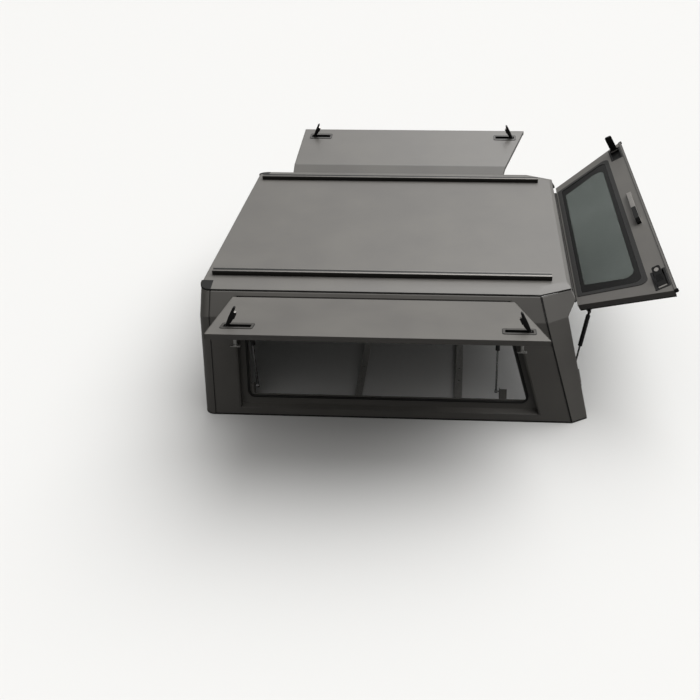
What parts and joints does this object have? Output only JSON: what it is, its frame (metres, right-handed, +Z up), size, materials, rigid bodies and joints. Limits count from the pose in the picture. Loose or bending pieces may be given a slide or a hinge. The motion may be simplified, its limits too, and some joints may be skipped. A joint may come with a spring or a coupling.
{
  "type": "pickup truck canopy",
  "caption": "Sheet-metal pickup canopy with lift-up side doors, a glazed lift-up rear door on gas struts, folding latches and slotted roof tracks",
  "frame": {"origin": "on the underside of the base gasket, on the middle of the seam line between the front panel and the side panels", "axes": "+X to the rear, +Y to the right-hand side, +Z up; doors drawn open"},
  "size_m": [1.8945, 2.1425, 0.7012],
  "materials": {
    "powder_coated_sheet": "satin powder coat, dark charcoal",
    "anodised_track": "black anodised",
    "bar_metal": "bare galvanised",
    "tinted_glass": "grey tint",
    "seal_rubber": "matt",
    "latch_plastic": "fine texture",
    "strut_steel": "black",
    "rod_steel": "hard chromed"
  },
  "bodies": {
    "canopy_body": {"front_panel": "powder_coated_sheet", "front_window": "tinted_glass", "front_window_seal": "seal_rubber", "roof_panel": "powder_coated_sheet", "roof_seam_seal": "seal_rubber", "base_gasket": "seal_rubber", "rear_header": "powder_coated_sheet", "cross_bar_front": "bar_metal", "cross_bar_rear": "bar_metal", "roof_corner_caps": "latch_plastic", "panel_seam_seals": "seal_rubber", "left_side_panel": "powder_coated_sheet", "left_door_jamb": "powder_coated_sheet", "left_door_seal": "seal_rubber", "left_hinge_rail": "anodised_track", "left_roof_track": "anodised_track", "left_rear_pillar": "powder_coated_sheet", "right_side_panel": "powder_coated_sheet", "right_door_jamb": "powder_coated_sheet", "right_door_seal": "seal_rubber", "right_hinge_rail": "anodised_track", "right_roof_track": "anodised_track", "right_rear_pillar": "powder_coated_sheet"},
    "left_door": {"left_door_skin": "powder_coated_sheet", "left_door_frame": "powder_coated_sheet", "left_hinge_leaf": "anodised_track", "left_latch_dishes": "latch_plastic", "left_latch_cams": "bar_metal"},
    "left_front_strut_rod": {"left_front_strut_rod": "rod_steel"},
    "left_front_strut_tube": {"left_front_strut_tube": "strut_steel"},
    "left_rear_strut_rod": {"left_rear_strut_rod": "rod_steel"},
    "left_rear_strut_tube": {"left_rear_strut_tube": "strut_steel"},
    "left_front_latch_lever": {"left_front_latch_lever": "latch_plastic"},
    "left_rear_latch_lever": {"left_rear_latch_lever": "latch_plastic"},
    "right_door": {"right_door_skin": "powder_coated_sheet", "right_door_frame": "powder_coated_sheet", "right_hinge_leaf": "anodised_track", "right_latch_dishes": "latch_plastic", "right_latch_cams": "bar_metal"},
    "right_front_strut_rod": {"right_front_strut_rod": "rod_steel"},
    "right_front_strut_tube": {"right_front_strut_tube": "strut_steel"},
    "right_rear_strut_rod": {"right_rear_strut_rod": "rod_steel"},
    "right_rear_strut_tube": {"right_rear_strut_tube": "strut_steel"},
    "right_front_latch_lever": {"right_front_latch_lever": "latch_plastic"},
    "right_rear_latch_lever": {"right_rear_latch_lever": "latch_plastic"},
    "rear_door": {"rear_door_frame": "powder_coated_sheet", "rear_glass": "tinted_glass", "rear_glass_seal": "seal_rubber", "rear_door_edge_seal": "seal_rubber", "rear_hinge_leaf": "anodised_track", "rear_latch_bases": "latch_plastic", "rear_pull_handle": "latch_plastic", "rear_door_lip": "powder_coated_sheet"},
    "rear_latch_left_paddle": {"rear_latch_left_paddle": "latch_plastic"},
    "rear_left_strut_rod": {"rear_left_strut_rod": "rod_steel"},
    "rear_left_strut_tube": {"rear_left_strut_tube": "strut_steel"},
    "rear_latch_right_paddle": {"rear_latch_right_paddle": "latch_plastic"},
    "rear_right_strut_rod": {"rear_right_strut_rod": "rod_steel"},
    "rear_right_strut_tube": {"rear_right_strut_tube": "strut_steel"}
  },
  "joints": [
    {"name": "left_door_hinge", "type": "hinge", "parent": "canopy_body", "child": "left_door", "pos_m": [0.66, -0.623, 0.478], "axis": [1, 0, 0], "range_deg": [0, 86]},
    {"name": "left_front_strut_swing", "type": "hinge", "parent": "canopy_body", "child": "left_front_strut_rod", "pos_m": [0.172, -0.70413, 0.095], "axis": [1, 0, 0], "range_deg": [-9.98, 0]},
    {"name": "left_front_strut_stroke", "type": "slide", "parent": "left_front_strut_rod", "child": "left_front_strut_tube", "axis": [0, -0.0535, -0.9986], "range_m": [0, 0.0573]},
    {"name": "left_rear_strut_swing", "type": "hinge", "parent": "canopy_body", "child": "left_rear_strut_rod", "pos_m": [1.178, -0.70413, 0.095], "axis": [1, 0, 0], "range_deg": [-9.98, 0]},
    {"name": "left_rear_strut_stroke", "type": "slide", "parent": "left_rear_strut_rod", "child": "left_rear_strut_tube", "axis": [0, -0.0535, -0.9986], "range_m": [0, 0.0573]},
    {"name": "left_front_latch_lever_fold", "type": "hinge", "parent": "left_door", "child": "left_front_latch_lever", "pos_m": [0.173, -0.98872, 0.57889], "axis": [0, 0.9808, -0.1948], "range_deg": [0, 62]},
    {"name": "left_rear_latch_lever_fold", "type": "hinge", "parent": "left_door", "child": "left_rear_latch_lever", "pos_m": [1.281, -0.98872, 0.57889], "axis": [0, -0.9808, 0.1948], "range_deg": [0, 62]},
    {"name": "right_door_hinge", "type": "hinge", "parent": "canopy_body", "child": "right_door", "pos_m": [0.66, 0.623, 0.478], "axis": [-1, 0, 0], "range_deg": [0, 83]},
    {"name": "right_front_strut_swing", "type": "hinge", "parent": "canopy_body", "child": "right_front_strut_rod", "pos_m": [0.172, 0.70413, 0.095], "axis": [-1, 0, 0], "range_deg": [-9.97, 0]},
    {"name": "right_front_strut_stroke", "type": "slide", "parent": "right_front_strut_rod", "child": "right_front_strut_tube", "axis": [0, 0.0536, -0.9986], "range_m": [0, 0.0541]},
    {"name": "right_rear_strut_swing", "type": "hinge", "parent": "canopy_body", "child": "right_rear_strut_rod", "pos_m": [1.178, 0.70413, 0.095], "axis": [-1, 0, 0], "range_deg": [-9.97, 0]},
    {"name": "right_rear_strut_stroke", "type": "slide", "parent": "right_rear_strut_rod", "child": "right_rear_strut_tube", "axis": [0, 0.0536, -0.9986], "range_m": [0, 0.0541]},
    {"name": "right_front_latch_lever_fold", "type": "hinge", "parent": "right_door", "child": "right_front_latch_lever", "pos_m": [0.173, 0.9935, 0.55961], "axis": [0, 0.9897, 0.1432], "range_deg": [0, 62]},
    {"name": "right_rear_latch_lever_fold", "type": "hinge", "parent": "right_door", "child": "right_rear_latch_lever", "pos_m": [1.281, 0.9935, 0.55961], "axis": [0, -0.9897, -0.1432], "range_deg": [0, 62]},
    {"name": "rear_door_hinge", "type": "hinge", "parent": "canopy_body", "child": "rear_door", "pos_m": [1.494, 0, 0.436], "axis": [0, 1, 0], "range_deg": [0, 106.2]},
    {"name": "rear_latch_left_paddle_fold", "type": "hinge", "parent": "rear_door", "child": "rear_latch_left_paddle", "pos_m": [1.79923, -0.694, 0.60933], "axis": [-0.8738, 0, -0.4863], "range_deg": [0, 23]},
    {"name": "rear_left_strut_swing", "type": "hinge", "parent": "rear_door", "child": "rear_left_strut_tube", "pos_m": [1.54743, -0.58401, 0.42225], "axis": [0, 1, 0], "range_deg": [-124.95, 0]},
    {"name": "rear_left_strut_stroke", "type": "slide", "parent": "rear_left_strut_tube", "child": "rear_left_strut_rod", "axis": [0.1358, 0, 0.9907], "range_m": [0, 0.0342]},
    {"name": "rear_latch_right_paddle_fold", "type": "hinge", "parent": "rear_door", "child": "rear_latch_right_paddle", "pos_m": [1.79923, 0.694, 0.60933], "axis": [0.8738, 0, 0.4863], "range_deg": [0, 75]},
    {"name": "rear_right_strut_swing", "type": "hinge", "parent": "rear_door", "child": "rear_right_strut_tube", "pos_m": [1.54743, 0.58401, 0.42225], "axis": [0, 1, 0], "range_deg": [-124.95, 0]},
    {"name": "rear_right_strut_stroke", "type": "slide", "parent": "rear_right_strut_tube", "child": "rear_right_strut_rod", "axis": [0.1358, 0, 0.9907], "range_m": [0, 0.0342]}
  ],
  "couplings": [
    {"joint": "left_front_strut_swing", "follows": "left_door_hinge", "ratio": -0.11269},
    {"joint": "left_front_strut_stroke", "follows": "left_door_hinge", "m_per_rad": 0.03742},
    {"joint": "left_rear_strut_swing", "follows": "left_door_hinge", "ratio": -0.11269},
    {"joint": "left_rear_strut_stroke", "follows": "left_door_hinge", "m_per_rad": 0.03742},
    {"joint": "right_front_strut_swing", "follows": "right_door_hinge", "ratio": -0.11666},
    {"joint": "right_front_strut_stroke", "follows": "right_door_hinge", "m_per_rad": 0.03659},
    {"joint": "right_rear_strut_swing", "follows": "right_door_hinge", "ratio": -0.11666},
    {"joint": "right_rear_strut_stroke", "follows": "right_door_hinge", "m_per_rad": 0.03659},
    {"joint": "rear_left_strut_swing", "follows": "rear_door_hinge", "ratio": -1.1535},
    {"joint": "rear_left_strut_stroke", "follows": "rear_door_hinge", "m_per_rad": 0.01811},
    {"joint": "rear_right_strut_swing", "follows": "rear_door_hinge", "ratio": -1.1535},
    {"joint": "rear_right_strut_stroke", "follows": "rear_door_hinge", "m_per_rad": 0.01811}
  ]
}
